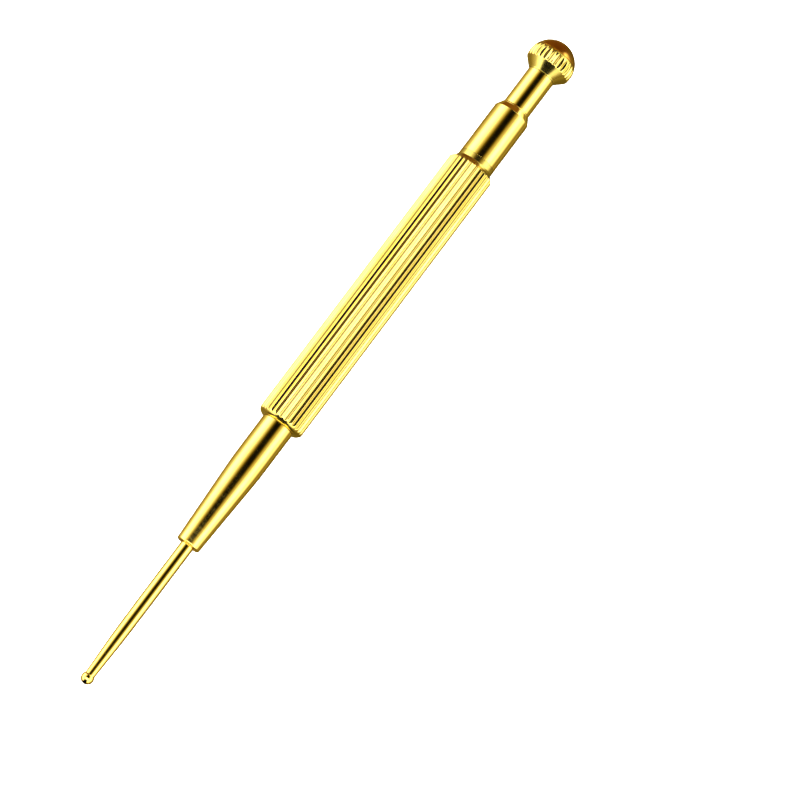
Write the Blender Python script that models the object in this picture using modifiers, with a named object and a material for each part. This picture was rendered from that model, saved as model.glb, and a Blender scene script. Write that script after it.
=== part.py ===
"""Spring-loaded ball-tip probe with a fluted grip and a knurled, sprung end knob.

The tool lies along X on a flat crest of its grip: fine ball tip at -X, end knob at +X, +Z up,
origin under the middle of its length. Lengths below are in millimetres. A station is a distance
from the ball tip's end, and a profile is a list of (station, radius) from the tip end to the
knob end. Everything is turned about one axis, so a profile is nearly the whole shape.
"""

import math

import bmesh
import bpy
from mathutils import Matrix, Vector

MM = 0.001
LENGTH = 130.2
TRAVEL = 6.0

# running gaps
SEAT_GAP = 0.05
PRESS_GAP = 0.05
RUN_GAP = 0.05
CHAMFER = 0.2

# facets round each turned shape
GRIP_STEPS = 60
SKIN_STEPS = 28
INNER_STEPS = 20
MERGE = 1e-6
SHARP_ANGLE = math.radians(28)

# probe rod
BALL_R = 1.08
BALL_END = 1.7
NECK_START = 2.05
NECK_R = 0.89
ROD_TAPER = [(8.8, 1.1), (14.0, 1.155), (18.0, 1.17)]
ROD_R = 1.17
TAIL_R = 0.8

# nose
NOSE_START = 27.28
NOSE_FRONT_R = 2.06
NOSE_CONE_END = 42.3
NOSE_R = 2.82
NOSE_EDGE = 0.36
NOSE_BEND = [(-1.2, 0.075), (0.0, 0.025), (1.6, 0.0)]
NOSE_BUSH_END = 33.0
NOSE_BUSH_R = 1.5
SPIGOT_R = 2.2
SPIGOT_LENGTH = 5.2

# fluted grip
GRIP_START = 51.4
GRIP_END = 105.75
GRIP_R = 4.08
GRIP_FRONT_EDGE = 0.85
GRIP_TAIL = [(1.95, GRIP_R), (1.64, 3.76), (1.36, 3.48), (0.85, 3.33), (0.45, 3.26), (0.0, 3.24)]
FLUTES = 30
FLUTE_R = 0.36
FLUTE_DEPTH = 0.22
FLUTE_SIDES = 12
FRONT_BORE_R = 2.25
FRONT_CHAMBER_R = 2.55
REAR_CHAMBER_R = 2.65
SNAP_GROOVE_R = 2.85

# rear collar
COLLAR_START = 105.8
COLLAR_BEVEL_START = 115.1
COLLAR_BEND_END = 115.37
COLLAR_BEND_DROP = 0.07
COLLAR_END = 116.2
MOUTH_STEP = 0.06
COLLAR_R = 3.22
COLLAR_SPIGOT_START = 100.4
COLLAR_SPIGOT_R = 2.6
COLLAR_BORE_R = 1.6
COLLAR_CHAMBER_START = 107.0
COLLAR_CHAMBER_R = 2.5
REAR_BUSH_START = 111.0
REAR_BUSH_R = 2.6
REAR_BUSH_LIP = 0.3

# knob and its stem
STEM_START = 113.3
STEM_END = 123.5
STEM_R = 2.41
SPINDLE_START = 94.5
SPINDLE_R = 1.5
THREAD_R = 1.2
STUD_R = 1.4
KNOB_R = 4.07
KNOB_CENTRE = 126.13
KNOB_BAND_START = 125.15
DOME_START = 127.6
DOME_SPIGOT_START = 125.65
DOME_SPIGOT_R = 2.35

# inside the front chamber
FRONT_BUMPER_THICK = 0.8
ROD_FLANGE_THICK = 1.8
ROD_FLANGE_R = 2.5
ROD_NUT_THICK = 1.1
ROD_NUT_R = 1.55

# the divider that both springs push against
DIVIDER_START = 76.5
DIVIDER_THICK = 3.0
DIVIDER_HOLE_R = 0.5
SNAP_WIRE_R = 0.2
SNAP_MEAN_R = 2.6
SNAP_ARC = math.radians(305)

# inside the rear chamber, counted back from the collar's spigot
REAR_BUMPER_THICK = 0.85
SPINDLE_NUT_THICK = 1.65
SPINDLE_NUT_R = 2.45
THRUST_WASHER_THICK = 0.3
THRUST_WASHER_R = 2.4
SPRING_SEAT_THICK = 0.75
SPRING_SEAT_R = 2.55
SPRING_SEAT_BOSS = 1.05
SPRING_SEAT_BOSS_R = 1.75

# springs
COIL_MEAN_R = 2.1
FRONT_WIRE_R = 0.175
REAR_WIRE_R = 0.2
COIL_ACTIVE_TURNS = 7
COIL_END_TURNS = 0.75
COIL_POINTS = 10

# places that follow from the sizes above
AXIS_HEIGHT = GRIP_R * math.cos(math.pi / GRIP_STEPS)
NOSE_END = GRIP_START - SEAT_GAP
SPIGOT_END = NOSE_END + SPIGOT_LENGTH
FRONT_BUMPER_START = SPIGOT_END + SEAT_GAP
ROD_SHOULDER = FRONT_BUMPER_START + FRONT_BUMPER_THICK + SEAT_GAP
ROD_FLANGE_START = ROD_SHOULDER + SEAT_GAP
ROD_NUT_START = ROD_FLANGE_START + ROD_FLANGE_THICK + SEAT_GAP
TAIL_END = DIVIDER_START - TRAVEL - 0.2
DIVIDER_END = DIVIDER_START + DIVIDER_THICK
REAR_BUMPER_START = COLLAR_SPIGOT_START - SEAT_GAP - REAR_BUMPER_THICK
SPINDLE_NUT_START = REAR_BUMPER_START - SEAT_GAP - SPINDLE_NUT_THICK
THRUST_WASHER_START = SPINDLE_NUT_START - SEAT_GAP - THRUST_WASHER_THICK
SPRING_SEAT_START = THRUST_WASHER_START - SEAT_GAP - SPRING_SEAT_THICK

# looks: base colour, metallic, roughness
GOLD = ((0.86, 0.66, 0.21), 1.0, 0.12)
DARK_GOLD = ((0.60, 0.36, 0.09), 1.0, 0.14)
BRONZE = ((0.62, 0.42, 0.20), 1.0, 0.30)
BRASS = ((0.74, 0.58, 0.27), 1.0, 0.28)
STEEL = ((0.62, 0.62, 0.60), 1.0, 0.25)
RUBBER = ((0.035, 0.035, 0.035), 0.0, 0.75)

COLLECTION = "spring_ball_probe"


def clear_scene():
    """Start from an empty file."""
    for leftover in list(bpy.data.objects):
        bpy.data.objects.remove(leftover, do_unlink=True)


def make_collection(name):
    """A collection of that name in the scene."""
    made = bpy.data.collections.new(name)
    bpy.context.scene.collection.children.link(made)
    return made


def along(station):
    """X, in metres, of a station in millimetres."""
    return (station - LENGTH / 2) * MM


def tool_frame(turn=0.0):
    """Placement that lays a shape modelled round Z along the tool's axis, turned about it."""
    lift = Matrix.Translation((0.0, 0.0, AXIS_HEIGHT * MM))
    return lift @ Matrix.Rotation(turn, 4, "X") @ Matrix.Rotation(math.pi / 2, 4, "Y")


def give_material(piece, look):
    """A Principled material of its own for one piece."""
    colour, metallic, roughness = look
    material = bpy.data.materials.new(piece.name + "_finish")
    material.use_nodes = True
    shader = material.node_tree.nodes["Principled BSDF"]
    shader.inputs["Base Color"].default_value = (*colour, 1.0)
    shader.inputs["Metallic"].default_value = metallic
    shader.inputs["Roughness"].default_value = roughness
    piece.data.materials.clear()
    piece.data.materials.append(material)


def freeze(piece):
    """Make the modified shape the piece's own mesh, smooth with crisp corners."""
    bpy.context.view_layer.update()
    graph = bpy.context.evaluated_depsgraph_get()
    mesh = bpy.data.meshes.new_from_object(piece.evaluated_get(graph))
    mesh.name = piece.name
    piece.modifiers.clear()
    piece.data = mesh
    mesh.shade_smooth()
    mesh.set_sharp_from_angle(angle=SHARP_ANGLE)


def corner(start, end, steps=4):
    """Quarter ellipse between two profile points, which leaves the first straight outward."""
    (u0, r0), (u1, r1) = start, end
    points = []
    for i in range(steps + 1):
        angle = math.pi / 2 * i / steps
        points.append((u1 + (u0 - u1) * math.cos(angle), r0 + (r1 - r0) * math.sin(angle)))
    return points


def ball_arc(centre, radius, first, last, steps):
    """Profile of a ball between two stations, in equal angles."""
    start = math.acos((centre - first) / radius)
    stop = math.acos((centre - last) / radius)
    points = []
    for i in range(steps + 1):
        angle = start + (stop - start) * i / steps
        points.append((centre - radius * math.cos(angle), radius * math.sin(angle)))
    return points


def turned(name, outer, bore=None, steps=INNER_STEPS, look=GOLD):
    """A turned piece: an outer profile, closed on the axis or on the profile of its bore."""
    path = list(reversed(outer)) + list(bore or [])
    mesh = bpy.data.meshes.new(name)
    profile = bmesh.new()
    verts = [profile.verts.new((r * MM, 0.0, along(u))) for u, r in path]
    for a, b in zip(verts, verts[1:]):
        profile.edges.new((a, b))
    if bore:
        profile.edges.new((verts[-1], verts[0]))
    profile.to_mesh(mesh)
    profile.free()
    piece = bpy.data.objects.new(name, mesh)
    parts.objects.link(piece)
    screw = piece.modifiers.new("turn", "SCREW")
    screw.axis = "Z"
    screw.angle = math.tau
    screw.steps = steps
    screw.render_steps = steps
    screw.use_merge_vertices = True
    screw.merge_threshold = MERGE
    freeze(piece)
    piece.matrix_world = tool_frame(math.pi / steps)
    give_material(piece, look)
    return piece


def ring(name, start, thick, outer_r, bore_r, look, edge=0.1):
    """A washer or flange with small chamfers on its rim."""
    end = start + thick
    outer = [(start, bore_r), (start, outer_r - edge), (start + edge, outer_r)]
    outer += [(end - edge, outer_r), (end, outer_r - edge), (end, bore_r)]
    return turned(name, outer[1:-1], [outer[0], outer[-1]], look=look)


def cutter_object(name, mesh_tool):
    """Wrap a bmesh as a hidden cutting tool."""
    mesh = bpy.data.meshes.new(name)
    mesh_tool.to_mesh(mesh)
    mesh_tool.free()
    tool = bpy.data.objects.new(name, mesh)
    cutters.objects.link(tool)
    tool.hide_render = True
    tool.display_type = "WIRE"
    return tool


def rod_of(mesh_tool, start, end, radius, sides, matrix=None, turn=0.0):
    """Add a closed prism along Z between two stations to a bmesh."""
    middle = (along(start) + along(end)) / 2
    place = (matrix or Matrix.Identity(4)) @ Matrix.Translation((0.0, 0.0, middle))
    bmesh.ops.create_cone(
        mesh_tool,
        cap_ends=True,
        segments=sides,
        radius1=radius * MM,
        radius2=radius * MM,
        depth=(end - start) * MM,
        matrix=place @ Matrix.Rotation(turn, 4, "Z"),
    )


def cut(piece, tool):
    """Take the tool's shape out of the piece."""
    boolean = piece.modifiers.new("cut", "BOOLEAN")
    boolean.operation = "DIFFERENCE"
    boolean.solver = "EXACT"
    boolean.object = tool
    freeze(piece)


def flute_cutter(name, start, end, crest_r):
    """Straight hollow flutes, one between each two crests."""
    tool_mesh = bmesh.new()
    for i in range(FLUTES):
        angle = math.tau * (i + 0.5) / FLUTES
        centre_r = crest_r - FLUTE_DEPTH + FLUTE_R
        shift = Matrix.Translation(Vector((centre_r * MM, 0.0, 0.0)))
        place = Matrix.Rotation(angle, 4, "Z") @ shift
        rod_of(tool_mesh, start, end, FLUTE_R, FLUTE_SIDES, place, math.pi / FLUTE_SIDES)
    tool = cutter_object(name, tool_mesh)
    tool.matrix_world = tool_frame()
    return tool


def hex_nut(name, start, thick, corner_r, hole_r, look):
    """A six-sided nut round the axis."""
    body = bmesh.new()
    rod_of(body, start, start + thick, corner_r, 6)
    mesh = bpy.data.meshes.new(name)
    body.to_mesh(mesh)
    body.free()
    nut = bpy.data.objects.new(name, mesh)
    parts.objects.link(nut)
    nut.matrix_world = tool_frame()
    hole = bmesh.new()
    rod_of(hole, start - thick, start + 2 * thick, hole_r, INNER_STEPS, turn=math.pi / INNER_STEPS)
    hole_tool = cutter_object(name + "_hole", hole)
    hole_tool.matrix_world = tool_frame()
    cut(nut, hole_tool)
    give_material(nut, look)
    return nut


def wire(name, points, wire_r, look):
    """A round wire through points given in the tool's own frame, in millimetres."""
    curve = bpy.data.curves.new(name, "CURVE")
    curve.dimensions = "3D"
    curve.bevel_depth = wire_r * MM
    curve.bevel_resolution = 2
    curve.use_fill_caps = True
    spline = curve.splines.new("POLY")
    spline.points.add(len(points) - 1)
    for target, (x, y, station) in zip(spline.points, points):
        target.co = (x * MM, y * MM, along(station), 1.0)
    piece = bpy.data.objects.new(name, curve)
    parts.objects.link(piece)
    piece.matrix_world = tool_frame()
    give_material(piece, look)
    return piece


def coil(name, start, end, wire_r, look):
    """A compression spring with closed ends, between two faces."""
    first = start + wire_r
    last = end - wire_r
    end_pitch = wire_r * 2.5
    turns = COIL_ACTIVE_TURNS + 2 * COIL_END_TURNS
    active_pitch = (last - first - 2 * COIL_END_TURNS * end_pitch) / COIL_ACTIVE_TURNS
    count = round(turns * COIL_POINTS)
    points = []
    for i in range(count + 1):
        turn = turns * i / count
        closed = min(turn, COIL_END_TURNS) + max(turn - COIL_END_TURNS - COIL_ACTIVE_TURNS, 0.0)
        station = first + closed * end_pitch + (turn - closed) * active_pitch
        angle = math.tau * turn
        points.append((COIL_MEAN_R * math.cos(angle), COIL_MEAN_R * math.sin(angle), station))
    return wire(name, points, wire_r, look)


# the handle: barrel, nose, collar and what is fixed inside them


def grip_barrel():
    """Fluted tube that everything screws into."""
    outer = corner((GRIP_START, NOSE_R + 0.05), (GRIP_START + GRIP_FRONT_EDGE, GRIP_R))
    outer += [(GRIP_END - before, r) for before, r in GRIP_TAIL]
    groove_start = DIVIDER_END + 0.02
    bore = [
        (GRIP_START, FRONT_BORE_R),
        (SPIGOT_END, FRONT_BORE_R),
        (SPIGOT_END, FRONT_CHAMBER_R),
        (DIVIDER_START - SEAT_GAP, FRONT_CHAMBER_R),
        (DIVIDER_START - SEAT_GAP, REAR_CHAMBER_R),
        (groove_start, REAR_CHAMBER_R),
        (groove_start, SNAP_GROOVE_R),
        (groove_start + 2.4 * SNAP_WIRE_R, SNAP_GROOVE_R),
        (groove_start + 2.4 * SNAP_WIRE_R, REAR_CHAMBER_R),
        (GRIP_END, REAR_CHAMBER_R),
    ]
    barrel = turned("grip_barrel", outer, bore, GRIP_STEPS, GOLD)
    cut(barrel, flute_cutter("grip_flutes", GRIP_START - 1.0, GRIP_END + 1.0, GRIP_R))


def nose_cone():
    """Tapered nose with a threaded spigot, shown as a plain cylinder."""
    edge_start = (NOSE_START, NOSE_FRONT_R - NOSE_EDGE)
    outer = corner(edge_start, (NOSE_START + NOSE_EDGE, NOSE_FRONT_R), 3)
    outer += [(NOSE_CONE_END + beyond, NOSE_R - less) for beyond, less in NOSE_BEND]
    outer += [(NOSE_END, NOSE_R), (NOSE_END, SPIGOT_R)]
    outer += [(SPIGOT_END - CHAMFER, SPIGOT_R), (SPIGOT_END, SPIGOT_R - CHAMFER)]
    bush_seat_r = NOSE_BUSH_R + PRESS_GAP
    rod_way_r = ROD_R + 3 * RUN_GAP
    bore = [(NOSE_START, bush_seat_r), (NOSE_BUSH_END, bush_seat_r)]
    bore += [(NOSE_BUSH_END, rod_way_r), (SPIGOT_END, rod_way_r)]
    turned("nose_cone", outer, bore, SKIN_STEPS, GOLD)


def nose_bush():
    """Bronze bush in the mouth of the nose, which the rod slides in."""
    start = NOSE_START + 0.1
    length = NOSE_BUSH_END - SEAT_GAP - start
    ring("nose_bush", start, length, NOSE_BUSH_R, ROD_R + RUN_GAP, BRONZE, 0.06)


def front_bumper():
    """Washer that the rod's flange comes to rest on."""
    ring("front_bumper", FRONT_BUMPER_START, FRONT_BUMPER_THICK, 2.45, 1.25, RUBBER)


def spring_divider():
    """Plug in the middle of the barrel that carries both springs."""
    ring("spring_divider", DIVIDER_START, DIVIDER_THICK, COLLAR_SPIGOT_R, DIVIDER_HOLE_R, BRASS, 0.2)


def divider_snap_ring():
    """Open wire ring in the barrel's groove, behind the divider."""
    station = DIVIDER_END + 0.06 + SNAP_WIRE_R
    steps = 22
    points = []
    for i in range(steps + 1):
        angle = SNAP_ARC * (i / steps - 0.5)
        points.append((SNAP_MEAN_R * math.cos(angle), SNAP_MEAN_R * math.sin(angle), station))
    wire("divider_snap_ring", points, SNAP_WIRE_R, STEEL)


def rear_collar():
    """Collar screwed into the barrel's tail, with a chamber that the stem travels in."""
    mouth_r = REAR_BUSH_R + PRESS_GAP
    outer = [(COLLAR_SPIGOT_START, COLLAR_SPIGOT_R - CHAMFER)]
    outer += [(COLLAR_SPIGOT_START + CHAMFER, COLLAR_SPIGOT_R)]
    outer += [(COLLAR_START, COLLAR_SPIGOT_R), (COLLAR_START, COLLAR_R)]
    outer += [(COLLAR_BEVEL_START, COLLAR_R), (COLLAR_BEND_END, COLLAR_R - COLLAR_BEND_DROP)]
    outer += [(COLLAR_END, mouth_r + MOUTH_STEP)]
    bore = [
        (COLLAR_SPIGOT_START, COLLAR_BORE_R),
        (COLLAR_CHAMBER_START, COLLAR_BORE_R),
        (COLLAR_CHAMBER_START, COLLAR_CHAMBER_R),
        (REAR_BUSH_START, COLLAR_CHAMBER_R),
        (REAR_BUSH_START, mouth_r),
        (COLLAR_END, mouth_r),
    ]
    turned("rear_collar", outer, bore, SKIN_STEPS, GOLD)


def rear_bush():
    """Thin sleeve in the collar's mouth, with a lip that shows round the stem."""
    start = REAR_BUSH_START + SEAT_GAP
    end = COLLAR_END + REAR_BUSH_LIP
    outer = [(start, REAR_BUSH_R), (COLLAR_END + 0.1, REAR_BUSH_R)]
    outer += [(end - 0.12, REAR_BUSH_R - 0.04), (end, REAR_BUSH_R - 0.09)]
    bore = [(start, STEM_R + RUN_GAP), (end, STEM_R + RUN_GAP)]
    turned("rear_bush", outer, bore, SKIN_STEPS, GOLD)


def rear_bumper():
    """Washer that the spindle's nut comes to rest on."""
    ring("rear_bumper", REAR_BUMPER_START, REAR_BUMPER_THICK, 2.45, COLLAR_BORE_R + 0.05, RUBBER)


# the probe: what slides when the ball tip is pressed


def probe_rod():
    """Ball tip, tapered neck, rod and the thinner tail inside the spring."""
    outer = ball_arc(BALL_R, BALL_R, 0.0, BALL_END, 6)
    outer += [(NECK_START, NECK_R)] + ROD_TAPER
    outer += [(ROD_SHOULDER, ROD_R), (ROD_SHOULDER, TAIL_R)]
    outer += [(TAIL_END - CHAMFER, TAIL_R), (TAIL_END, TAIL_R - CHAMFER), (TAIL_END, 0.0)]
    turned("probe_rod", outer, look=GOLD)


def rod_flange():
    """Flange on the rod's tail that the front spring pushes."""
    hole_r = TAIL_R + PRESS_GAP
    ring("rod_flange", ROD_FLANGE_START, ROD_FLANGE_THICK, ROD_FLANGE_R, hole_r, BRASS, 0.15)


def rod_lock_nut():
    """Nut that clamps the flange against the rod's shoulder."""
    hex_nut("rod_lock_nut", ROD_NUT_START, ROD_NUT_THICK, ROD_NUT_R, TAIL_R + PRESS_GAP, STEEL)


# the rear follower and the knob: what slides when the knob is pressed


def rear_spring_seat():
    """Stepped washer that carries the rear spring and doesn't turn with the knob."""
    end = SPRING_SEAT_START + SPRING_SEAT_THICK
    boss_start = SPRING_SEAT_START - SPRING_SEAT_BOSS
    hole_r = THREAD_R + 2 * RUN_GAP
    outer = [(boss_start, SPRING_SEAT_BOSS_R), (SPRING_SEAT_START, SPRING_SEAT_BOSS_R)]
    outer += [(SPRING_SEAT_START, SPRING_SEAT_R), (end, SPRING_SEAT_R)]
    turned("rear_spring_seat", outer, [(boss_start, hole_r), (end, hole_r)], look=BRASS)


def rear_thrust_washer():
    """Bronze washer that the knob's nut turns on."""
    hole_r = THREAD_R + 2 * RUN_GAP
    start = THRUST_WASHER_START
    ring("rear_thrust_washer", start, THRUST_WASHER_THICK, THRUST_WASHER_R, hole_r, BRONZE, 0.06)


def spindle_nut():
    """Nut on the spindle's thread; it stops the knob from being pulled out."""
    thick = SPINDLE_NUT_THICK
    hex_nut("spindle_nut", SPINDLE_NUT_START, thick, SPINDLE_NUT_R, THREAD_R + PRESS_GAP, STEEL)


def knob_stem():
    """Stem seen under the knob, with its spindle ahead and a stud behind."""
    neck_start = COLLAR_SPIGOT_START - REAR_BUMPER_THICK - SEAT_GAP
    stud_end = DOME_SPIGOT_START - 0.15
    outer = [(SPINDLE_START, 0.0), (SPINDLE_START, THREAD_R - CHAMFER)]
    outer += [(SPINDLE_START + CHAMFER, THREAD_R)]
    outer += [(neck_start, THREAD_R), (neck_start, SPINDLE_R), (STEM_START, SPINDLE_R)]
    outer += [(STEM_START, STEM_R - CHAMFER), (STEM_START + CHAMFER, STEM_R), (STEM_END, STEM_R)]
    outer += [(STEM_END, STUD_R), (stud_end, STUD_R), (stud_end, 0.0)]
    turned("knob_stem", outer, steps=SKIN_STEPS, look=GOLD)


def knob_ring():
    """Flared, fluted lower half of the knob."""
    start = STEM_END + SEAT_GAP
    band_r = math.sqrt(KNOB_R**2 - (KNOB_CENTRE - KNOB_BAND_START) ** 2)
    hole_r = STUD_R + PRESS_GAP
    socket_r = DOME_SPIGOT_R + PRESS_GAP
    socket_start = DOME_SPIGOT_START - SEAT_GAP
    top = DOME_START - SEAT_GAP
    outer = [(start, STEM_R + 0.03), (start + 0.12, STEM_R + 0.1)]
    outer += [(KNOB_BAND_START - 0.06, band_r - 0.12)]
    outer += ball_arc(KNOB_CENTRE, KNOB_R, KNOB_BAND_START, top, 4)
    bore = [(start, hole_r), (socket_start, hole_r), (socket_start, socket_r), (top, socket_r)]
    knob = turned("knob_ring", outer, bore, GRIP_STEPS, GOLD)
    cut(knob, flute_cutter("knob_flutes", start - 1.0, LENGTH + 1.0, KNOB_R))


def dome_cap():
    """Smooth domed end that presses into the knob ring."""
    outer = [(DOME_SPIGOT_START, 0.0), (DOME_SPIGOT_START, DOME_SPIGOT_R - 0.15)]
    outer += [(DOME_SPIGOT_START + 0.15, DOME_SPIGOT_R), (DOME_START, DOME_SPIGOT_R)]
    outer += ball_arc(KNOB_CENTRE, KNOB_R, DOME_START, LENGTH, 6)
    turned("dome_cap", outer, steps=SKIN_STEPS, look=DARK_GOLD)


def carry(name, station, pieces):
    """Parent pieces that move together to an empty on the tool's axis."""
    carrier = bpy.data.objects.new(name, None)
    parts.objects.link(carrier)
    carrier.location = (along(station), 0.0, AXIS_HEIGHT * MM)
    bpy.context.view_layer.update()
    for piece_name in pieces:
        piece = bpy.data.objects[piece_name]
        piece.parent = carrier
        piece.matrix_parent_inverse = carrier.matrix_world.inverted()
    return carrier


def build():
    """Make every piece, then hang the moving ones on their carriers."""
    grip_barrel()
    nose_cone()
    nose_bush()
    front_bumper()
    spring_divider()
    divider_snap_ring()
    rear_collar()
    rear_bush()
    rear_bumper()
    probe_rod()
    rod_flange()
    rod_lock_nut()
    rear_spring_seat()
    rear_thrust_washer()
    spindle_nut()
    knob_stem()
    knob_ring()
    dome_cap()
    front_spring_start = ROD_FLANGE_START + ROD_FLANGE_THICK + SEAT_GAP
    coil("front_spring", front_spring_start, DIVIDER_START - SEAT_GAP, FRONT_WIRE_R, STEEL)
    coil("rear_spring", DIVIDER_END + SEAT_GAP, SPRING_SEAT_START - SEAT_GAP, REAR_WIRE_R, STEEL)
    carry("probe_carrier", ROD_SHOULDER, ["probe_rod", "rod_flange", "rod_lock_nut"])
    carry("follower_carrier", SPRING_SEAT_START, ["rear_spring_seat", "rear_thrust_washer"])
    carry("knob_carrier", STEM_END, ["spindle_nut", "knob_stem", "knob_ring", "dome_cap"])


clear_scene()
parts = make_collection(COLLECTION)
cutters = make_collection("cutters")
build()
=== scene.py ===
"""Looks of the spring-loaded ball-tip probe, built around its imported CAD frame.

The tool lies along X, ball tip at -X and knob at +X. Sizes below are in millimetres unless a
name says otherwise. A station is a distance from the ball tip's end, and a profile is a list of
(station, radius) or (station, radius, fillet). The inside pieces are never seen from outside, so
their radii and fillets are design choices.
"""

import math

import bpy
from mathutils import Matrix, Vector


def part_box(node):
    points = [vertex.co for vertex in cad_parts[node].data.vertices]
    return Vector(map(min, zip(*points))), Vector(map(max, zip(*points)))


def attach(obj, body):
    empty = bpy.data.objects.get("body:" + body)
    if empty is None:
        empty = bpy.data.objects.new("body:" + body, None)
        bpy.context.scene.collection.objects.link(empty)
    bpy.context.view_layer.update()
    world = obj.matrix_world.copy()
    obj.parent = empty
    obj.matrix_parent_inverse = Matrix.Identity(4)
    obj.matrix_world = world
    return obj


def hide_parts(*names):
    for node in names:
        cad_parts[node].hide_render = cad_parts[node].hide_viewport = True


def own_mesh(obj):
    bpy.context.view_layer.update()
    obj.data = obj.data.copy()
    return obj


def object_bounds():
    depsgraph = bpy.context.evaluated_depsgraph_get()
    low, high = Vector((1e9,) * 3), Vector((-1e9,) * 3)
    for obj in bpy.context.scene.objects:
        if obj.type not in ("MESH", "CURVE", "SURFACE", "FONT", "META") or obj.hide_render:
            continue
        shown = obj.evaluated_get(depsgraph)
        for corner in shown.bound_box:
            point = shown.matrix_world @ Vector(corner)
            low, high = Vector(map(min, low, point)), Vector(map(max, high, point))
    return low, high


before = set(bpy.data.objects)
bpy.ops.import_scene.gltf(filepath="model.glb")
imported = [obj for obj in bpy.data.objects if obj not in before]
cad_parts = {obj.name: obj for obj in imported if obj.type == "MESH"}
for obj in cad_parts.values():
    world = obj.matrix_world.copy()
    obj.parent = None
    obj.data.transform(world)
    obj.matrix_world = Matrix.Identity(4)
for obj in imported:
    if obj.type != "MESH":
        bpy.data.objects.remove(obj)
cad_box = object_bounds()

MM = 0.001
TIP_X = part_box("probe_rod")[0].x
GRIP_LOW, GRIP_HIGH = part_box("grip_barrel")
AXIS_Z = (GRIP_LOW.z + GRIP_HIGH.z) / 2
CREST_R = (GRIP_HIGH.z - GRIP_LOW.z) / 2 / MM
GAP = 0.05  # what a visible piece leaves free where it faces its neighbour

# probe
ROD_R = 1.17
BALL_R = 1.08
TAIL_R = 0.8
FINE_PITCH = 0.35

# handle
NOSE_REAR_R = 2.822
COARSE_PITCH = 0.5
SCREW_DEPTH = 0.17
COLLAR_R = 3.22

# knob
STEM_R = 2.41
KNOB_R = 4.07
KNOB_CENTRE = 126.13

# springs
COIL_R = 2.1
ACTIVE_TURNS = 7.0
END_TURNS = 0.75
POINTS_PER_TURN = 40

# flutes of the grip and the knob
FLUTES = 30
FLUTE_PITCH = math.tau * CREST_R / FLUTES
FLUTE_DEPTH = 0.195
GROOVE_FALL = 0.177
GROOVE_SLOPE = 0.66
GROOVE_ROUND = 0.17
GROOVE_SAG = 0.028
RIDGE_ROUND = 0.03
RIDGE_LEVEL = 0.01

# fineness and rounding of the meshes
ROUND_STEPS = 192
INNER_STEPS = 96
HEX_STEPS = 144
SCREW_BLEND = 0.004
FLUTE_BLEND = 0.012
NO_LIMIT = 99.0

# metals and the room they mirror
GOLD = (1.0, 0.77, 0.17)
# paler copy of GOLD for the flutes: a painted highlight for their pale sheen
PALE_HIGHLIGHT_GOLD = (0.97, 0.77, 0.22)
DEEP_GOLD = (0.98, 0.72, 0.14)
# darker copies of the gold for the dome: painted shade for the dark room it mirrors
SHADED_AMBER = (0.80, 0.47, 0.07)
DEEP_SHADED_AMBER = (0.55, 0.27, 0.035)
# tint of the painted shade in the flute grooves
GROOVE_SHADE_TINT = (0.62, 0.62, 0.50)
BROWN = (0.055, 0.024, 0.005)
ROOM_PEAK = 4.0

# picture
VIEW_TILT = math.radians(12.0)
VIEW_SLANT = math.radians(53.24)
VIEW_DISTANCE = 0.65
VIEW_WIDTH = 0.1276
SENSOR = 36.0
VIEW_STATION = 66.487
VIEW_ASIDE = 13.12


def start_of(node):
    """Station where a CAD node begins."""
    return (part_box(node)[0].x - TIP_X) / MM


def end_of(node):
    """Station where a CAD node ends."""
    return (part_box(node)[1].x - TIP_X) / MM


def span_of(node):
    """Stations where a CAD node begins and ends."""
    return start_of(node), end_of(node)


def point(station, y=0.0, z=0.0):
    """A point beside the tool's axis, in the row frame and metres."""
    return Vector((TIP_X + station * MM, y * MM, AXIS_Z + z * MM))


def round_point(station, radius, angle):
    """A point at a radius and an angle round the tool's axis."""
    return point(station, radius * math.sin(angle), radius * math.cos(angle))


# ---------------------------------------------------------------- profiles


def rounded(path, closed=True, arc_step=math.radians(11)):
    """Replace each corner that has a fillet by an arc."""
    out = []
    count = len(path)
    for i, spot in enumerate(path):
        fillet = spot[2] if len(spot) > 2 else 0.0
        here = Vector(spot[:2])
        at_end = not closed and i in (0, count - 1)
        if fillet <= 0.0 or at_end:
            out.append(tuple(here))
            continue
        back = Vector(path[i - 1][:2]) - here
        ahead = Vector(path[(i + 1) % count][:2]) - here
        bend = math.pi - back.angle(ahead)
        reach = min(fillet * math.tan(bend / 2), 0.49 * back.length, 0.49 * ahead.length)
        size = reach / math.tan(bend / 2)
        first = here + back.normalized() * reach
        last = here + ahead.normalized() * reach
        inward = (back.normalized() + ahead.normalized()).normalized()
        centre = here + inward * math.hypot(size, reach)
        spread = max(2, math.ceil(bend / arc_step))
        spoke, spoke_end = first - centre, last - centre
        turn = math.atan2(spoke.x * spoke_end.y - spoke.y * spoke_end.x, spoke.dot(spoke_end))
        for k in range(spread + 1):
            angle = turn * k / spread
            out.append(tuple(centre + Matrix.Rotation(angle, 2) @ spoke))
    return out


def dense(path, first, last, step):
    """Add rows to the straight stretches of a profile between two stations."""
    out = [path[0]]
    for (u0, r0), (u1, r1) in zip(path, path[1:]):
        inside = min(u0, u1) >= first - 1e-6 and max(u0, u1) <= last + 1e-6
        pieces = max(1, math.ceil(abs(u1 - u0) / step)) if inside else 1
        for k in range(1, pieces + 1):
            share = k / pieces
            out.append((u0 + (u1 - u0) * share, r0 + (r1 - r0) * share))
    return out


def ball(centre, size, first, last, steps):
    """Profile of a ball between two stations."""
    begin = math.acos(max(-1.0, min(1.0, (centre - first) / size)))
    stop = math.acos(max(-1.0, min(1.0, (centre - last) / size)))
    angles = [begin + (stop - begin) * i / steps for i in range(steps + 1)]
    return [(centre - size * math.cos(a), size * math.sin(a)) for a in angles]


def knob_radius(station):
    """Radius of the knob's ball shape at a station."""
    return math.sqrt(KNOB_R**2 - (station - KNOB_CENTRE) ** 2)


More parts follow.
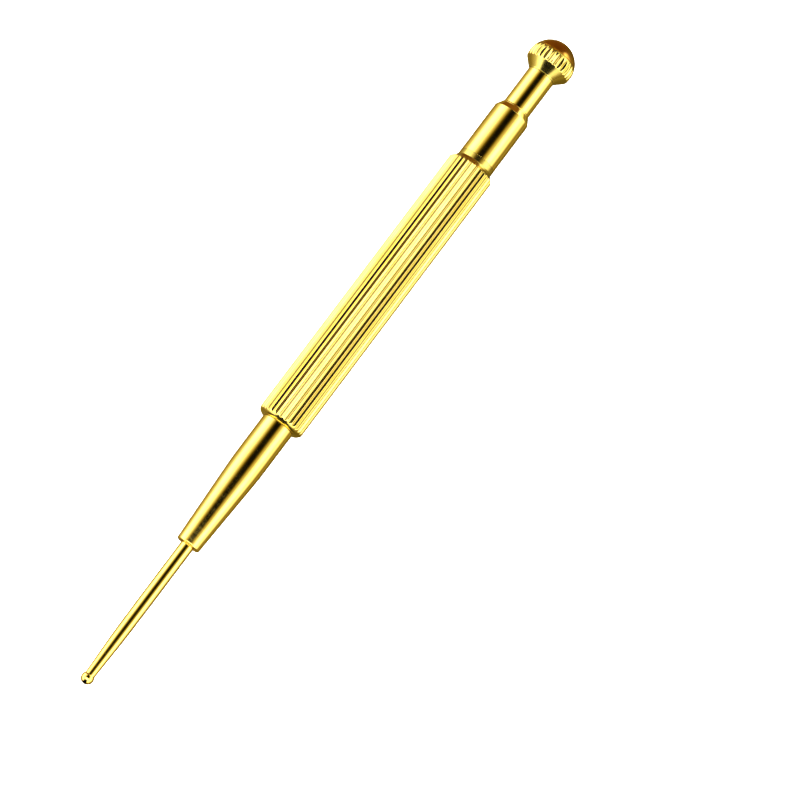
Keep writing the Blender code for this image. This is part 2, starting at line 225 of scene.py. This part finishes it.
def oval_shoulder(start, length, low_r, high_r, steps):
    """Quarter of an ellipse, from a low radius at the start up to a high one."""
    angles = [math.pi / 2 * i / steps for i in range(steps + 1)]
    rise = high_r - low_r
    return [(start + length * (1 - math.cos(a)), low_r + rise * math.sin(a)) for a in angles]


def curve_through(spots, steps):
    """Smooth profile through a few points."""
    out = []
    last = len(spots) - 1
    for i in range(last):
        p0, p1 = Vector(spots[max(i - 1, 0)]), Vector(spots[i])
        p2, p3 = Vector(spots[i + 1]), Vector(spots[min(i + 2, last)])
        for k in range(steps):
            t = k / steps
            blend = 2 * p1 + (p2 - p0) * t + (2 * p0 - 5 * p1 + 4 * p2 - p3) * t**2
            out.append(tuple((blend + (3 * p1 - p0 - 3 * p2 + p3) * t**3) / 2))
    return out + [tuple(spots[-1])]


# ---------------------------------------------------------------- meshes


def even_angles(steps):
    """Angles round the axis."""
    return [math.tau * i / steps for i in range(steps)]


def flute_angles():
    """Angles round the axis, closest together where the grooves and ridges bend most."""
    aside = [0.025, 0.055, 0.095, 0.14, 0.19, 0.24, 0.29, 0.34, 0.39, 0.43, 0.465, 0.5]
    shares = [-s for s in reversed(aside[:-1])] + [0.0] + aside
    return [math.tau * (i + 0.5 + s) / FLUTES for i in range(FLUTES) for s in shares]


def flute_limit(crest_r):
    """Radius that the flutes leave at each angle, with a crest at angle 0."""

    def limit(station, angle):
        turn = angle / math.tau * FLUTES
        aside = abs(turn - math.floor(turn) - 0.5) * FLUTE_PITCH
        fall = GROOVE_FALL - (math.hypot(aside, GROOVE_ROUND) - GROOVE_ROUND) * GROOVE_SLOPE
        sag = GROOVE_SAG * (1 - 2 * aside / FLUTE_PITCH) ** 2
        return crest_r + RIDGE_LEVEL - (fall + math.hypot(fall, RIDGE_ROUND)) / 2 - sag

    return limit


def thread_limit(first, last, outer_r, pitch, depth):
    """Radius that a screw thread leaves between two stations."""

    def limit(station, angle):
        if not first <= station <= last:
            return NO_LIMIT
        phase = (station / pitch - angle / math.tau) % 1.0
        fade = min(1.0, (station - first) / pitch, (last - station) / pitch)
        return outer_r - depth * fade * abs(2.0 * phase - 1.0)

    return limit


def hex_limit(corner_r):
    """Radius that six flats leave at each angle."""

    def limit(station, angle):
        off = (angle / math.tau * 6) % 1.0 - 0.5
        return corner_r * math.cos(math.pi / 6) / math.cos(off * math.tau / 6)

    return limit


def soft_min(a, b, blend):
    """The smaller of two radii, with a small round where they meet."""
    return (a + b - math.sqrt((a - b) ** 2 + blend**2)) / 2


def mesh_piece(name, verts, faces, sharp_degrees):
    """A smooth-shaded object whose steeper edges stay sharp."""
    mesh = bpy.data.meshes.new(name)
    mesh.from_pydata(verts, [], faces)
    mesh.validate()
    mesh.shade_smooth()
    mesh.set_sharp_from_angle(angle=math.radians(sharp_degrees))
    piece = bpy.data.objects.new(name, mesh)
    bpy.context.scene.collection.objects.link(piece)
    return piece


def lathe(name, path, angles, limit=None, blend=0.0):
    """A closed solid turned about the tool's axis; both ends on the axis, or a closed loop."""
    tube = min(r for _, r in path) > 1e-6
    verts, rows = [], []
    for station, r in path:
        if r <= 1e-6:
            rows.append([len(verts)])
            verts.append(point(station))
            continue
        row = []
        for angle in angles:
            size = r if limit is None else soft_min(r, limit(station, angle), blend)
            row.append(len(verts))
            verts.append(round_point(station, max(size, 1e-4), angle))
        rows.append(row)
    faces = []
    pairs = list(zip(rows, rows[1:])) + ([(rows[-1], rows[0])] if tube else [])
    count = len(angles)
    for low, high in pairs:
        for k in range(count):
            n = (k + 1) % count
            if len(low) == 1:
                faces.append((low[0], high[k], high[n]))
            elif len(high) == 1:
                faces.append((low[k], high[0], low[n]))
            else:
                faces.append((low[k], high[k], high[n], low[n]))
    return mesh_piece(name, verts, faces, 40)


def wire(name, spots, wire_r, sides=14):
    """A round wire swept through points, with closed ends."""
    verts, faces = [], []
    last = len(spots) - 1
    normal = None
    for i, spot in enumerate(spots):
        ahead = (spots[min(i + 1, last)] - spots[max(i - 1, 0)]).normalized()
        if normal is None:
            normal = ahead.orthogonal().normalized()
        normal = (normal - ahead * normal.dot(ahead)).normalized()
        side = ahead.cross(normal)
        for k in range(sides):
            angle = math.tau * k / sides
            verts.append(spot + (normal * math.cos(angle) + side * math.sin(angle)) * wire_r * MM)
    for i in range(last):
        for k in range(sides):
            n = (k + 1) % sides
            low, high = i * sides, (i + 1) * sides
            faces.append((low + k, low + n, high + n, high + k))
    faces.append(tuple(reversed(range(sides))))
    faces.append(tuple(last * sides + k for k in range(sides)))
    return mesh_piece(name, verts, faces, 50)


# ---------------------------------------------------------------- materials


class Nodes:
    """Short calls that add nodes to a tree and link them."""

    def __init__(self, tree, coordinates):
        self.tree = tree
        self.place = tree.nodes.new("ShaderNodeTexCoord").outputs[coordinates]
        split = tree.nodes.new("ShaderNodeSeparateXYZ")
        tree.links.new(self.place, split.inputs[0])
        self.x, self.y, self.z = split.outputs

    def feed(self, socket, value):
        """Link a socket to a socket, or set it to a plain value or colour."""
        if isinstance(value, bpy.types.NodeSocket):
            self.tree.links.new(value, socket)
        elif socket.type == "RGBA":
            socket.default_value = (*value, 1.0)
        else:
            socket.default_value = value

    def math(self, operation, a, b=0.0):
        node = self.tree.nodes.new("ShaderNodeMath")
        node.operation = operation
        self.feed(node.inputs[0], a)
        self.feed(node.inputs[1], b)
        return node.outputs[0]

    def mix(self, factor, a, b):
        """Colour between a and b."""
        node = self.tree.nodes.new("ShaderNodeMix")
        node.data_type = "RGBA"
        for name, value in (("Factor", factor), ("A", a), ("B", b)):
            self.feed(node.inputs[name], value)
        return node.outputs["Result"]


class Shade(Nodes):
    """A Principled material and the nodes that feed it."""

    def __init__(self, name, metallic=1.0):
        self.material = bpy.data.materials.new(name)
        self.material.use_nodes = True
        super().__init__(self.material.node_tree, "Object")
        self.shader = self.tree.nodes["Principled BSDF"]
        self.shader.inputs["Metallic"].default_value = metallic

    def stretched(self, x_scale, cross_scale):
        """Object coordinates with one scale along the tool and one across it."""
        node = self.tree.nodes.new("ShaderNodeMapping")
        node.inputs["Scale"].default_value = (x_scale, cross_scale, cross_scale)
        self.tree.links.new(self.place, node.inputs["Vector"])
        return node.outputs[0]

    def noise(self, vector, scale, detail=3.0):
        node = self.tree.nodes.new("ShaderNodeTexNoise")
        node.inputs["Scale"].default_value = scale
        node.inputs["Detail"].default_value = detail
        node.inputs["Roughness"].default_value = 0.55
        self.tree.links.new(vector, node.inputs["Vector"])
        return node.outputs["Fac"]

    def between(self, value, low, high, out_low=0.0, out_high=1.0):
        """Map value from low..high to out_low..out_high, clamped."""
        node = self.tree.nodes.new("ShaderNodeMapRange")
        node.clamp = True
        self.feed(node.inputs["Value"], value)
        for socket, number in zip(node.inputs[1:5], (low, high, out_low, out_high)):
            socket.default_value = number
        return node.outputs[0]

    def from_axis(self):
        """Distance from the tool's axis, in millimetres."""
        across = self.math("SUBTRACT", self.z, AXIS_Z)
        squares = self.math("ADD", self.math("POWER", self.y, 2.0), self.math("POWER", across, 2.0))
        return self.math("MULTIPLY", self.math("SQRT", squares), 1000.0)

    def finish(self, colour, roughness, height=None, depth_mm=0.0):
        """Feed the shader, with a bump if there is a height."""
        self.feed(self.shader.inputs["Base Color"], colour)
        self.feed(self.shader.inputs["Roughness"], roughness)
        if height is not None:
            node = self.tree.nodes.new("ShaderNodeBump")
            node.inputs["Distance"].default_value = depth_mm * MM
            self.tree.links.new(height, node.inputs["Height"])
            self.tree.links.new(node.outputs[0], self.shader.inputs["Normal"])
        return self.material


def polished_gold(name, bright, deep, rough_low, rough_high, recess=None):
    """Polished plating with faint turning marks, fine scratches and tone changes; with a recess,
    painted shade darkens the flute grooves.
    """
    s = Shade(name)
    clouds = s.noise(s.place, 260.0)
    smears = s.noise(s.stretched(2600.0, 220.0), 1.0, 4.0)
    rings = s.noise(s.stretched(9000.0, 60.0), 1.0, 2.0)
    scratches = s.noise(s.stretched(700.0, 5200.0), 1.0, 2.0)
    tone = s.mix(s.between(clouds, 0.35, 0.7), bright, deep)
    rough = s.between(smears, 0.3, 0.7, rough_low, rough_high)
    if recess:
        floor_r, crest_r = recess
        # painted shade: the colour darkens toward the groove floors, most at the deepest point, and
        # roughness rises there
        depth = s.between(s.from_axis(), floor_r, crest_r, 1.0, 0.0)
        groove_shade = s.math("MULTIPLY", depth, s.between(clouds, 0.2, 0.8, 0.55, 1.0))
        tone = s.mix(groove_shade, tone, [c * k for c, k in zip(deep, GROOVE_SHADE_TINT)])
        rough = s.math("ADD", rough, s.math("MULTIPLY", depth, 0.08))
    height = s.math("ADD", rings, s.math("MULTIPLY", scratches, 0.35))
    return s.finish(tone, rough, height, 0.0009)


def turned_metal(name, light, dark, rough_low, rough_high):
    """Bare turned metal with plain tool marks round it."""
    s = Shade(name)
    clouds = s.noise(s.place, 700.0, 4.0)
    marks = s.noise(s.stretched(6500.0, 90.0), 1.0, 2.0)
    tone = s.mix(s.between(clouds, 0.3, 0.75), light, dark)
    return s.finish(tone, s.between(marks, 0.3, 0.7, rough_low, rough_high), marks, 0.004)


def drawn_steel(name):
    """Bright spring wire and zinc-plated nuts."""
    s = Shade(name)
    streaks = s.noise(s.stretched(900.0, 3600.0), 1.0, 4.0)
    tone = s.mix(s.between(streaks, 0.3, 0.7), (0.62, 0.62, 0.61), (0.44, 0.44, 0.45))
    return s.finish(tone, s.between(streaks, 0.3, 0.7, 0.18, 0.34), streaks, 0.002)


def black_rubber(name):
    """Matt moulded rubber with a fine grain."""
    s = Shade(name, metallic=0.0)
    grain = s.noise(s.place, 9000.0)
    tone = s.mix(grain, (0.018, 0.018, 0.019), (0.05, 0.049, 0.048))
    return s.finish(tone, s.between(grain, 0.2, 0.8, 0.6, 0.85), grain, 0.01)


def pale_floor(name):
    """Matt, nearly white floor with faint clouds."""
    s = Shade(name, metallic=0.0)
    grain = s.noise(s.place, 30.0, 4.0)
    return s.finish(s.mix(grain, (0.90, 0.90, 0.895), (0.93, 0.93, 0.925)), 0.9)


flute_recess = (CREST_R - FLUTE_DEPTH, CREST_R - 0.04)
plain_gold = polished_gold("plain_gold", GOLD, DEEP_GOLD, 0.07, 0.12)
# the flutes start from a paler gold, a painted highlight
fluted_gold = polished_gold("fluted_gold", PALE_HIGHLIGHT_GOLD, GOLD, 0.08, 0.13, flute_recess)
# painted shade: the dome's plating gets a darker amber copy of the gold
shaded_gold = polished_gold("shaded_gold", SHADED_AMBER, DEEP_SHADED_AMBER, 0.10, 0.18)
bronze = turned_metal("bearing_bronze", (0.66, 0.42, 0.17), (0.50, 0.30, 0.11), 0.22, 0.38)
brass = turned_metal("bare_brass", (0.82, 0.62, 0.25), (0.66, 0.47, 0.16), 0.2, 0.36)
steel = drawn_steel("spring_steel")
rubber = black_rubber("bumper_rubber")


def finish_piece(piece, material, body, node):
    """Give a piece its material and say what it stands for and rides on."""
    piece.data.materials.append(material)
    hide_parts(node)
    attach(piece, body)
    return piece


# ---------------------------------------------------------------- the probe


def ball_tip_rod():
    """Ball tip, tapered neck, rod and the threaded tail that carries the flange."""
    end = end_of("probe_rod")
    shoulder = start_of("rod_flange") - GAP
    nut_end = end_of("rod_lock_nut")
    path = ball(BALL_R, BALL_R, 0.0, 1.68, 20)
    neck = [(1.78, 0.89), (2.05, 0.875), (3.6, 0.92), (8.8, 1.1), (14.0, 1.155), (18.0, ROD_R)]
    path += curve_through(neck, 8)
    rear = [(18.1, ROD_R), (shoulder, ROD_R, 0.08), (shoulder, TAIL_R, 0.04)]
    rear += [(end, TAIL_R, 0.22), (end, 0.0)]
    path += rounded(rear, closed=False)
    path = dense(path, shoulder + 0.2, end - 0.25, FINE_PITCH / 8)
    limit = thread_limit(shoulder + 1.2, nut_end + 1.6, TAIL_R, FINE_PITCH, 0.11)
    rod = lathe("ball_tip_rod", path, even_angles(INNER_STEPS), limit, SCREW_BLEND)
    return finish_piece(rod, plain_gold, "probe", "probe_rod")


# ---------------------------------------------------------------- the handle


def tapered_nose():
    """Tapered nose, with its screwed spigot inside the grip."""
    start, end = span_of("nose_cone")
    shoulder = start_of("grip_barrel") - GAP
    seat_end = end_of("nose_bush") + GAP
    mouth_r, rim_r, belly_r = 1.55, 2.07, 2.812
    relief_r, screw_r, bore_r = 1.95, 2.19, 1.3
    path = [(start, mouth_r, 0.03), (start, rim_r, 0.34), (start + 15.3, belly_r, 60.0)]
    path += [(shoulder, NOSE_REAR_R, 0.05), (shoulder, relief_r, 0.05)]
    path += [(shoulder + 0.5, relief_r, 0.05), (shoulder + 0.75, screw_r, 0.04)]
    path += [(end, screw_r, 0.22), (end, bore_r, 0.05)]
    path += [(seat_end, bore_r), (seat_end, mouth_r, 0.04)]
    path = dense(rounded(path), shoulder + 0.8, end - 0.2, 0.07)
    limit = thread_limit(shoulder + 0.7, end - 0.1, screw_r + 0.01, COARSE_PITCH, SCREW_DEPTH)
    nose = lathe("tapered_nose", path, even_angles(ROUND_STEPS), limit, SCREW_BLEND)
    return finish_piece(nose, plain_gold, "handle", "nose_cone")


def fluted_grip():
    """Fluted barrel with smooth shoulders where the flutes run out."""
    start, end = span_of("grip_barrel")
    spigot_end = end_of("nose_cone")
    divider = start_of("spring_divider") - GAP
    ring_start = start_of("divider_snap_ring") - 0.04
    ring_end = end_of("divider_snap_ring") + GAP
    front_bore_r, mid_bore_r, bore_r, ring_r = 2.25, 2.55, 2.65, 2.85
    tail = [(end - 8.0, CREST_R), (end - 1.95, CREST_R, 0.22), (end - 1.36, 3.48, 0.4)]
    tail += [(end - 0.92, 3.25, 0.4), (end - 0.5, 3.225), (end, 3.222)]
    bore = [(end, 2.72, 0.05), (end - 0.2, bore_r, 0.1), (ring_end, bore_r)]
    bore += [(ring_end, ring_r, 0.04), (ring_start, ring_r, 0.04), (ring_start, bore_r)]
    bore += [(divider, bore_r), (divider, mid_bore_r), (spigot_end, mid_bore_r)]
    bore += [(spigot_end, front_bore_r), (start, front_bore_r, 0.04)]
    path = oval_shoulder(start, 1.08, 2.88, CREST_R, 26) + [(start + 8.0, CREST_R)]
    path += dense(rounded(tail, closed=False), end - 2.4, end, 0.045)
    path += rounded(bore, closed=False)
    grip = lathe("fluted_grip", path, flute_angles(), flute_limit(CREST_R), FLUTE_BLEND)
    return finish_piece(grip, fluted_gold, "handle", "grip_barrel")


def plain_collar():
    """Rear collar with its rounded shoulder and screwed spigot."""
    start, end = span_of("rear_collar")
    shoulder = end_of("grip_barrel") + GAP
    bush = start_of("rear_bush") - GAP
    chamber = 107.0
    hole_r, chamber_r, mouth_r = 1.6, 2.5, 2.65
    relief_r, screw_r = 2.35, 2.59
    path = [(start, hole_r, 0.05), (start, screw_r, 0.22), (shoulder - 0.7, screw_r, 0.05)]
    path += [(shoulder - 0.5, relief_r, 0.05), (shoulder, relief_r, 0.03)]
    path += [(shoulder, COLLAR_R, 0.015), (end - 1.0, COLLAR_R, 0.35)]
    path += [(end - 0.12, 2.75, 0.06), (end, 2.69, 0.02), (end, mouth_r)]
    path += [(bush, mouth_r), (bush, chamber_r), (chamber, chamber_r, 0.1), (chamber, hole_r, 0.05)]
    path = dense(rounded(path), start + 0.25, shoulder - 0.75, 0.07)
    limit = thread_limit(start + 0.1, shoulder - 0.6, screw_r + 0.01, COARSE_PITCH, SCREW_DEPTH)
    collar = lathe("plain_collar", path, even_angles(ROUND_STEPS), limit, SCREW_BLEND)
    return finish_piece(collar, plain_gold, "handle", "rear_collar")


def stem_bush():
    """Thin sleeve whose bevelled lip shows round the stem."""
    start, end = span_of("rear_bush")
    face = end_of("rear_collar")
    path = [(start, 2.46, 0.02), (start, 2.6, 0.03), (face + 0.08, 2.6, 0.12)]
    path += [(end - 0.05, 2.53, 0.06), (end, 2.48, 0.01)]
    bush = lathe("stem_bush", rounded(path), even_angles(ROUND_STEPS))
    return finish_piece(bush, plain_gold, "handle", "rear_bush")


# ---------------------------------------------------------------- the knob


def knob_shaft():
    """Stem, with the spindle ahead of it and the stud behind."""
    start, end = span_of("knob_stem")
    neck = end_of("spindle_nut") + GAP
    stem_start, stem_end = 113.3, start_of("knob_ring") - GAP
    screw_r, spindle_r, stud_r = 1.2, 1.5, 1.4
    path = [(start, 0.0), (start, screw_r, 0.2), (neck, screw_r, 0.05), (neck, spindle_r, 0.08)]
    path += [(stem_start, spindle_r, 0.15), (stem_start, STEM_R, 0.18), (stem_end, STEM_R, 0.03)]
    path += [(stem_end, stud_r, 0.03), (end, stud_r, 0.15), (end, 0.0)]
    path = dense(rounded(path, closed=False), start + 0.2, neck - 0.1, FINE_PITCH / 6)
    limit = thread_limit(start + 0.3, neck - 0.2, screw_r, FINE_PITCH, 0.13)
    shaft = lathe("knob_shaft", path, even_angles(ROUND_STEPS), limit, SCREW_BLEND)
    return finish_piece(shaft, plain_gold, "knob", "knob_stem")


def fluted_knob():
    """Flared lower half of the knob, with short flutes round its widest part."""
    start, end = span_of("knob_ring")
    socket = end_of("knob_stem") + 0.1
    hole_r, socket_r = 1.45, 2.4
    band = KNOB_CENTRE - 0.93
    foot = [(start, hole_r, 0.03), (start, 2.44, 0.04), (start + 0.15, 2.52, 0.35)]
    foot += [(band, knob_radius(band), 0.07), (KNOB_CENTRE - 0.6, KNOB_R * 0.99)]
    inside = [(end, socket_r, 0.03), (socket, socket_r), (socket, hole_r), (start, hole_r)]
    path = dense(rounded(foot, closed=False)[:-1], start + 0.05, band + 0.05, 0.05)
    path += ball(KNOB_CENTRE, KNOB_R, band + 0.08, end - 0.05, 46)
    path += [(end, knob_radius(end) - 0.04)]
    path += rounded(inside, closed=False)[:-1]
    knob = lathe("fluted_knob", path, flute_angles(), flute_limit(KNOB_R), FLUTE_BLEND)
    return finish_piece(knob, fluted_gold, "knob", "knob_ring")


def knob_dome():
    """Smooth domed end with the spigot that holds it in the knob; its darker amber gold is painted
    shade.
    """
    start, end = span_of("dome_cap")
    rim = end_of("knob_ring") + GAP
    spigot_r = 2.35
    spigot = [(start, 0.0), (start, spigot_r, 0.15), (rim, spigot_r, 0.03)]
    path = rounded(spigot + [(rim, knob_radius(rim) - 0.03)], closed=False)
    path += ball(KNOB_CENTRE, KNOB_R, rim + 0.02, end, 40)
    path[-1] = (end, 0.0)
    dome = lathe("knob_dome", path, even_angles(ROUND_STEPS))
    return finish_piece(dome, shaded_gold, "knob", "dome_cap")


# ---------------------------------------------------------------- inside


def sleeve(name, node, outer_r, bore_r, fillet, material, body):
    """A bush, washer or bumper with rounded edges."""
    start, end = span_of(node)
    path = [(start, bore_r), (start, outer_r), (end, outer_r), (end, bore_r)]
    path = rounded([(*spot, fillet) for spot in path])
    return finish_piece(lathe(name, path, even_angles(INNER_STEPS)), material, body, node)


def hex_piece(name, node, corner_r, hole_r, body):
    """A six-sided steel nut with turned, chamfered faces."""
    start, end = span_of(node)
    face_r = corner_r - 0.12 * corner_r
    slope = 0.12 * corner_r * 0.6
    path = [(start, hole_r, 0.05), (start, face_r, 0.03), (start + slope, corner_r, 0.03)]
    path += [(end - slope, corner_r, 0.03), (end, face_r, 0.03), (end, hole_r, 0.05)]
    path = dense(rounded(path), start, end, 0.12)
    nut = lathe(name, path, even_angles(HEX_STEPS), hex_limit(corner_r), 0.01)
    return finish_piece(nut, steel, body, node)


def seat_cup():
    """Stepped washer under the rear spring."""
    start, end = span_of("rear_spring_seat")
    step = end - 0.75
    hole_r, hub_r, rim_r = 1.3, 1.75, 2.55
    path = [(start, hole_r, 0.04), (start, hub_r, 0.1), (step, hub_r, 0.05)]
    path += [(step, rim_r, 0.08), (end, rim_r, 0.08), (end, hole_r, 0.04)]
    cup = lathe("seat_cup", rounded(path), even_angles(INNER_STEPS))
    return finish_piece(cup, brass, "rear_follower", "rear_spring_seat")


def snap_wire():
    """Open wire ring behind the divider, with its gap on top."""
    station = sum(span_of("divider_snap_ring")) / 2
    ring_r, arc, steps = 2.6, math.radians(305), 90
    angles = [arc * (i / steps - 0.5) for i in range(steps + 1)]
    spots = [point(station, ring_r * math.sin(a), -ring_r * math.cos(a)) for a in angles]
    ring = wire("snap_wire", spots, 0.2)
    return finish_piece(ring, steel, "handle", "divider_snap_ring")


def coil(name, node, wire_r):
    """A compression spring with closed ends."""
    start, end = span_of(node)
    first, last = start + wire_r, end - wire_r
    end_pitch = wire_r * 2.5
    turns = ACTIVE_TURNS + 2 * END_TURNS
    active_pitch = (last - first - 2 * END_TURNS * end_pitch) / ACTIVE_TURNS
    count = round(turns * POINTS_PER_TURN)
    spots = []
    for i in range(count + 1):
        turn = turns * i / count
        closed = min(turn, END_TURNS) + max(turn - END_TURNS - ACTIVE_TURNS, 0.0)
        station = first + closed * end_pitch + (turn - closed) * active_pitch
        spots.append(round_point(station, COIL_R, math.tau * turn))
    spring = wire(name, spots, wire_r)
    finish_piece(spring, steel, "handle", node)
    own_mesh(spring)
    return spring


def build_object():
    """Every piece, outside first."""
    ball_tip_rod()
    tapered_nose()
    sleeve("nose_guide_bush", "nose_bush", 1.5, 1.22, 0.05, bronze, "handle")
    fluted_grip()
    plain_collar()
    stem_bush()
    knob_shaft()
    fluted_knob()
    knob_dome()
    sleeve("front_rubber", "front_bumper", 2.45, 1.25, 0.15, rubber, "handle")
    sleeve("rear_rubber", "rear_bumper", 2.45, 1.65, 0.15, rubber, "handle")
    sleeve("divider_plug", "spring_divider", 2.6, 0.5, 0.2, brass, "handle")
    sleeve("flange_disc", "rod_flange", 2.5, 0.85, 0.15, brass, "probe")
    sleeve("thrust_ring", "rear_thrust_washer", 2.4, 1.3, 0.06, bronze, "rear_follower")
    seat_cup()
    hex_piece("rod_nut", "rod_lock_nut", 1.55, 0.85, "probe")
    hex_piece("shaft_nut", "spindle_nut", 2.45, 1.25, "knob")
    snap_wire()
    coil("front_coil", "front_spring", 0.175)
    coil("rear_coil", "rear_spring", 0.2)


# ---------------------------------------------------------------- studio


def make_camera():
    """Camera at the picture's angle, looking down on the tool."""
    along = Vector((math.cos(VIEW_TILT), 0.0, math.sin(VIEW_TILT)))
    aside = Vector((0.0, -1.0, 0.0))
    look = Vector((math.sin(VIEW_TILT), 0.0, -math.cos(VIEW_TILT)))
    right = math.cos(VIEW_SLANT) * along + math.sin(VIEW_SLANT) * aside
    up = math.sin(VIEW_SLANT) * along - math.cos(VIEW_SLANT) * aside
    target = point(VIEW_STATION, -VIEW_ASIDE)
    lens = bpy.data.cameras.new("camera")
    lens.sensor_width = SENSOR
    lens.lens = SENSOR * VIEW_DISTANCE / VIEW_WIDTH
    lens.clip_start = 0.01
    lens.clip_end = 50.0
    camera = bpy.data.objects.new("camera", lens)
    bpy.context.scene.collection.objects.link(camera)
    place = Matrix((right, up, -look)).transposed().to_4x4()
    place.translation = target - look * VIEW_DISTANCE
    camera.matrix_world = place
    bpy.context.scene.camera = camera


# brightness of the room round the tool, by degrees from straight up, positive toward -Y
ROOM_STOPS = [
    (-150, 0.3), (-135, 0.34), (-122, 0.6), (-110, 0.83), (-100, 1.15), (-92, 2.4), (-82, 3.5),
    (-70, 3.3), (-60, 2.7), (-50, 1.8), (-41, 0.98), (-35, 0.7), (-30, 0.46), (-25, 0.2),
    (-20, 0.06), (-12, 0.006), (5, 0.004), (11, 0.03), (15, 0.12), (20, 0.37), (25, 0.56),
    (31, 0.75), (38, 1.15), (45, 2.4), (55, 3.5), (64, 3.1), (75, 1.9), (90, 1.5), (98, 0.7),
    (108, 0.25), (120, 0.4), (138, 0.2),
]


def glow(level):
    """Colour of a part of the room: warm where dim, white where bright."""
    warm = max(0.0, min(1.0, 1.05 - level))
    return [level / ROOM_PEAK * (1.0 - warm**0.6 * fade) for fade in (0.0, 0.3, 0.95)]


class Room(Nodes):
    """The surroundings that the metal mirrors, as a colour by direction."""

    def __init__(self, tree):
        super().__init__(tree, "Generated")
        self.turn = self.math("ARCTAN2", self.math("MULTIPLY", self.y, -1.0), self.z)
        self.overhead = self.band(self.turn, -0.6, 0.6, 0.08)

    def step(self, value, low, high):
        """Smooth rise from 0 at low to 1 at high, or a fall when high is below low."""
        node = self.tree.nodes.new("ShaderNodeMapRange")
        node.interpolation_type = "SMOOTHSTEP"
        self.tree.links.new(value, node.inputs["Value"])
        node.inputs["From Min"].default_value = low
        node.inputs["From Max"].default_value = high
        return node.outputs[0]

    def band(self, value, low, high, soft):
        """1 between low and high, with soft edges."""
        rise = self.step(value, low - soft, low + soft)
        fall = self.step(value, high + soft, high - soft)
        return self.math("MULTIPLY", rise, fall)

    def panels(self):
        """Light and dark panels that run along the tool."""
        share = self.math("ADD", self.math("MULTIPLY", self.turn, 1 / math.tau), 0.5)
        ramp = self.tree.nodes.new("ShaderNodeValToRGB")
        stops = ramp.color_ramp.elements
        while len(stops) > 1:
            stops.remove(stops[-1])
        for i, (degrees, level) in enumerate(ROOM_STOPS):
            position = degrees / 360.0 + 0.5
            stop = stops[0] if i == 0 else stops.new(position)
            stop.position = position
            stop.color = (*glow(level), 1.0)
        self.tree.links.new(share, ramp.inputs["Fac"])
        return ramp.outputs["Color"]

    def bar(self, colour, low, high, soft, level):
        """A bright bar across the panels overhead, between two directions along the tool."""
        within = self.math("MULTIPLY", self.band(self.x, low, high, soft), self.overhead)
        return self.mix(within, colour, glow(level))


def make_world():
    """White surroundings for the camera, and a room of light and dark panels for the metal."""
    world = bpy.data.worlds.new("studio")
    bpy.context.scene.world = world
    world.use_nodes = True
    tree = world.node_tree
    room = Room(tree)
    colour = room.bar(room.panels(), -0.62, -0.12, 0.08, ROOM_PEAK)
    colour = room.bar(colour, 0.78, 0.86, 0.04, ROOM_PEAK / 2)
    across_top = room.band(room.y, -0.42, 0.42, 0.08)
    front_dark = room.math("MULTIPLY", room.step(room.x, -0.66, -0.72), across_top)
    colour = room.mix(front_dark, colour, glow(0.0))
    toward_knob = room.math("ADD", room.x, room.math("MULTIPLY", room.y, 0.35))
    colour = room.mix(room.step(toward_knob, 0.76, 0.9), colour, BROWN)
    seen = tree.nodes.new("ShaderNodeLightPath").outputs["Is Camera Ray"]
    colour = room.mix(seen, colour, [1.0 / ROOM_PEAK] * 3)
    background = tree.nodes["Background"]
    background.inputs["Strength"].default_value = ROOM_PEAK
    tree.links.new(colour, background.inputs["Color"])


def overhead_light():
    """Large light that whitens the floor and is not mirrored in the metal."""
    lamp = bpy.data.lights.new("overhead", "AREA")
    lamp.shape = "SQUARE"
    lamp.size = 4.0
    lamp.energy = 400.0
    light = bpy.data.objects.new("overhead", lamp)
    bpy.context.scene.collection.objects.link(light)
    light.location = (0.0, 0.0, 2.5)
    light.visible_camera = False
    light.visible_glossy = False


def make_floor():
    """Plain pale floor under the tool."""
    bpy.ops.mesh.primitive_plane_add(size=8.0, location=(0.0, 0.0, cad_box[0].z))
    floor = bpy.context.object
    floor.name = "pale_floor"
    floor.data.materials.append(pale_floor("pale_floor"))
    floor.visible_glossy = False


def make_studio():
    """Camera, surroundings, floor and light."""
    make_camera()
    make_world()
    make_floor()
    overhead_light()
    bpy.context.scene.view_settings.view_transform = "Standard"


build_object()
make_studio()
